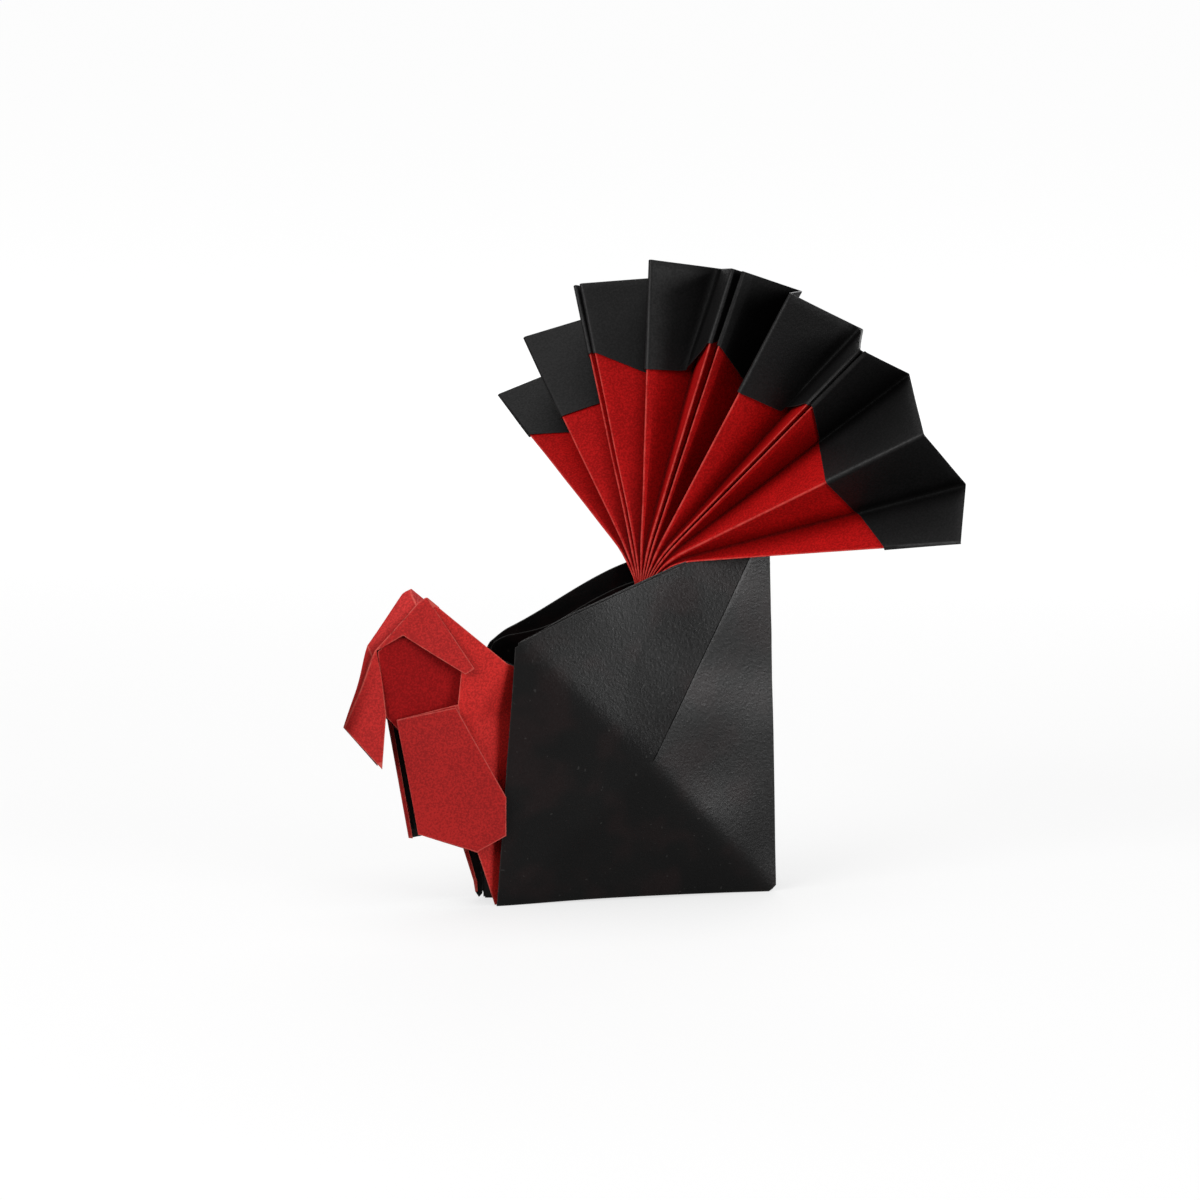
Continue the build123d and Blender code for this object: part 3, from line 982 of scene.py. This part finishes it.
def tail_fan():
    """The pleated sheet, turned over at its rim and carried on down the front as the black hem."""
    sheet, sheet_ridge, sheet_groove = fan_sheet()
    hem, hem_ridge, hem_groove, outward, forward = fan_hem()
    rim_turn = np.array([
        sheet[-1] + outward * RIM_RADIUS * sin(turn) + forward * RIM_RADIUS * (1 - cos(turn))
        for turn in np.linspace(0, pi, RIM_STEPS)[1:-1]
    ])
    repeats = (len(rim_turn), 1)
    grid = np.concatenate([sheet, rim_turn, hem])
    ridge = np.concatenate([sheet_ridge, np.tile(sheet_ridge[-1], repeats), hem_ridge])
    groove = np.concatenate([sheet_groove, np.tile(sheet_groove[-1], repeats), hem_groove])
    rows, columns = groove.shape
    rim = np.full((rows, columns), FAR_AWAY)
    rim[-HEM_ROWS:] = np.linalg.norm(hem - hem[-1], axis=2)
    # Painted shade: the fan is darkened beside its grooves, and a panel that is pressed nearly shut is
    # painted darker further up from its valley
    pitch_columns = (columns - 1) / (count - 1)
    panel = np.clip(np.round(np.arange(columns) / pitch_columns - 0.5), 0, count - 2).astype(int)
    angles = np.abs(np.diff([angle for angle, lean, length in creases]))
    valley = groove * np.clip((angles[panel] / OPEN_PANEL) ** 2, *SHADE_LIMITS)
    lines = {"ridge": ridge.ravel(), "groove": groove.ravel(), "rim": rim.ravel(), "valley": valley.ravel()}
    points = warp(grid.reshape(-1, 3), fan_back, FAN_WAVE, FAN_WAVE_SIZE)
    faces = grid_faces(rows, columns)
    hem_start = (rows - HEM_ROWS - 1) * columns
    face_sides = [SIDE_SET * (face[0] >= hem_start) for face in faces]
    sides = (SHADED_FAN_RED, BACK_BLACK, BLACK_EDGE, SHADED_FAN_RED, HEM_BLACK, BLACK_EDGE)
    paper_piece("tail_fan", points, faces, lines, sides, face_sides=face_sides)


tail_fan()


# Inner folds that tie the stack to the walls

fold_top = fan_root - point(0, 0, STACK_NECKING)
fold_foot = fold_top - point(0, 0, CROSS_FOLD_HEIGHT)
fold_wall_top = on_facet(*upper_facet, fold_top[0], fold_top[2] - CROSS_FOLD_DROP)
fold_wall_foot = on_facet(*upper_facet, fold_top[0], fold_foot[2] - CROSS_FOLD_DROP)
both_halves("cross_fold", [(fold_top, fold_foot, fold_wall_foot, fold_wall_top)], all_black)


# Floor, light and camera


def make_floor():
    """A pale sweep that is white to the camera, apart from the bird's shadow, which is partly lit and partly
    painted.
    """
    half = FLOOR_HALF * MM
    corners = [(-half, -half, 0), (half, -half, 0), (half, half, 0), (-half, half, 0)]
    mesh = bpy.data.meshes.new("floor")
    mesh.from_pydata(corners, [], [(0, 1, 2, 3)])
    floor = bpy.data.objects.new("floor", mesh)
    bpy.context.scene.collection.objects.link(floor)
    nodes = Nodes("floor")
    nodes.shader.inputs["Base Color"].default_value = FLOOR_GREY
    nodes.shader.inputs["Roughness"].default_value = FLOOR_ROUGHNESS
    nodes.shader.inputs["Specular IOR Level"].default_value = FLOOR_SHINE
    nodes.shader.inputs["Emission Color"].default_value = WHITE
    rays = nodes.tree.nodes.new("ShaderNodeLightPath")
    away = nodes.tree.nodes.new("ShaderNodeVectorMath")
    away.operation = "LENGTH"
    nodes.link(nodes.place, away.inputs[0])
    glow = nodes.spread(away.outputs["Value"], GLOW_NEAR * MM, GLOW_FAR * MM, *GLOW_LEVELS)
    # Painted contact shadow: the glow is cut by ambient occlusion near the bird
    painted_shadow = nodes.tree.nodes.new("ShaderNodeAmbientOcclusion")
    painted_shadow.samples = PAINTED_SHADOW_SAMPLES
    painted_shadow.inputs["Distance"].default_value = PAINTED_SHADOW_REACH * MM
    open_floor = nodes.spread(painted_shadow.outputs["AO"], *PAINTED_SHADOW_SPAN, *PAINTED_SHADOW_LEVELS)
    glow = nodes.math("MULTIPLY", glow, open_floor)
    seen_glow = nodes.math("MULTIPLY", rays.outputs["Is Camera Ray"], glow)
    nodes.link(seen_glow, nodes.shader.inputs["Emission Strength"])
    mesh.materials.append(nodes.material)


def make_world():
    """A white surround to the camera, and a weak even light to everything else."""
    world = bpy.data.worlds.new("studio")
    world.use_nodes = True
    bpy.context.scene.world = world
    tree = world.node_tree
    background = tree.nodes["Background"]
    background.inputs["Color"].default_value = WHITE
    rays = tree.nodes.new("ShaderNodeLightPath")
    seen = tree.nodes.new("ShaderNodeMapRange")
    seen.inputs["To Min"].default_value = WORLD_LIGHT
    seen.inputs["To Max"].default_value = WORLD_SEEN
    tree.links.new(rays.outputs["Is Camera Ray"], seen.inputs["Value"])
    tree.links.new(seen.outputs["Result"], background.inputs["Strength"])


def soft_light(name, place, size, power):
    """A square soft box at a place in millimetres, aimed at the middle of the bird."""
    light = bpy.data.lights.new(name, "AREA")
    light.size = size * MM
    light.energy = power
    lamp = bpy.data.objects.new(name, light)
    lamp.location = Vector(place) * MM
    aim = Vector(CAMERA_TARGET) * MM - lamp.location
    lamp.rotation_euler = aim.to_track_quat("-Z", "Y").to_euler()
    bpy.context.scene.collection.objects.link(lamp)


def make_camera():
    data = bpy.data.cameras.new("camera")
    data.lens = CAMERA_LENS
    data.sensor_width = CAMERA_SENSOR
    data.clip_start = CAMERA_CLIP * MM
    camera = bpy.data.objects.new("camera", data)
    turn = radians(CAMERA_AZIMUTH)
    rise = radians(CAMERA_ELEVATION)
    aim = Vector((sin(turn) * cos(rise), -cos(turn) * cos(rise), sin(rise)))
    camera.location = (Vector(CAMERA_TARGET) + aim * CAMERA_DISTANCE) * MM
    camera.rotation_euler = aim.to_track_quat("Z", "Y").to_euler()
    bpy.context.scene.collection.objects.link(camera)
    bpy.context.scene.camera = camera


make_floor()
make_world()
soft_light("right_light", (370, -565, 175), size=340, power=2.1)
soft_light("left_light", (-560, -315, 365), size=420, power=3.05)
soft_light("rear_light", (260, 640, 330), size=520, power=1.6)
soft_light("overhead_light", (-40, -20, 850), size=1100, power=3.4)
make_camera()
bpy.context.scene.view_settings.view_transform = "Standard"
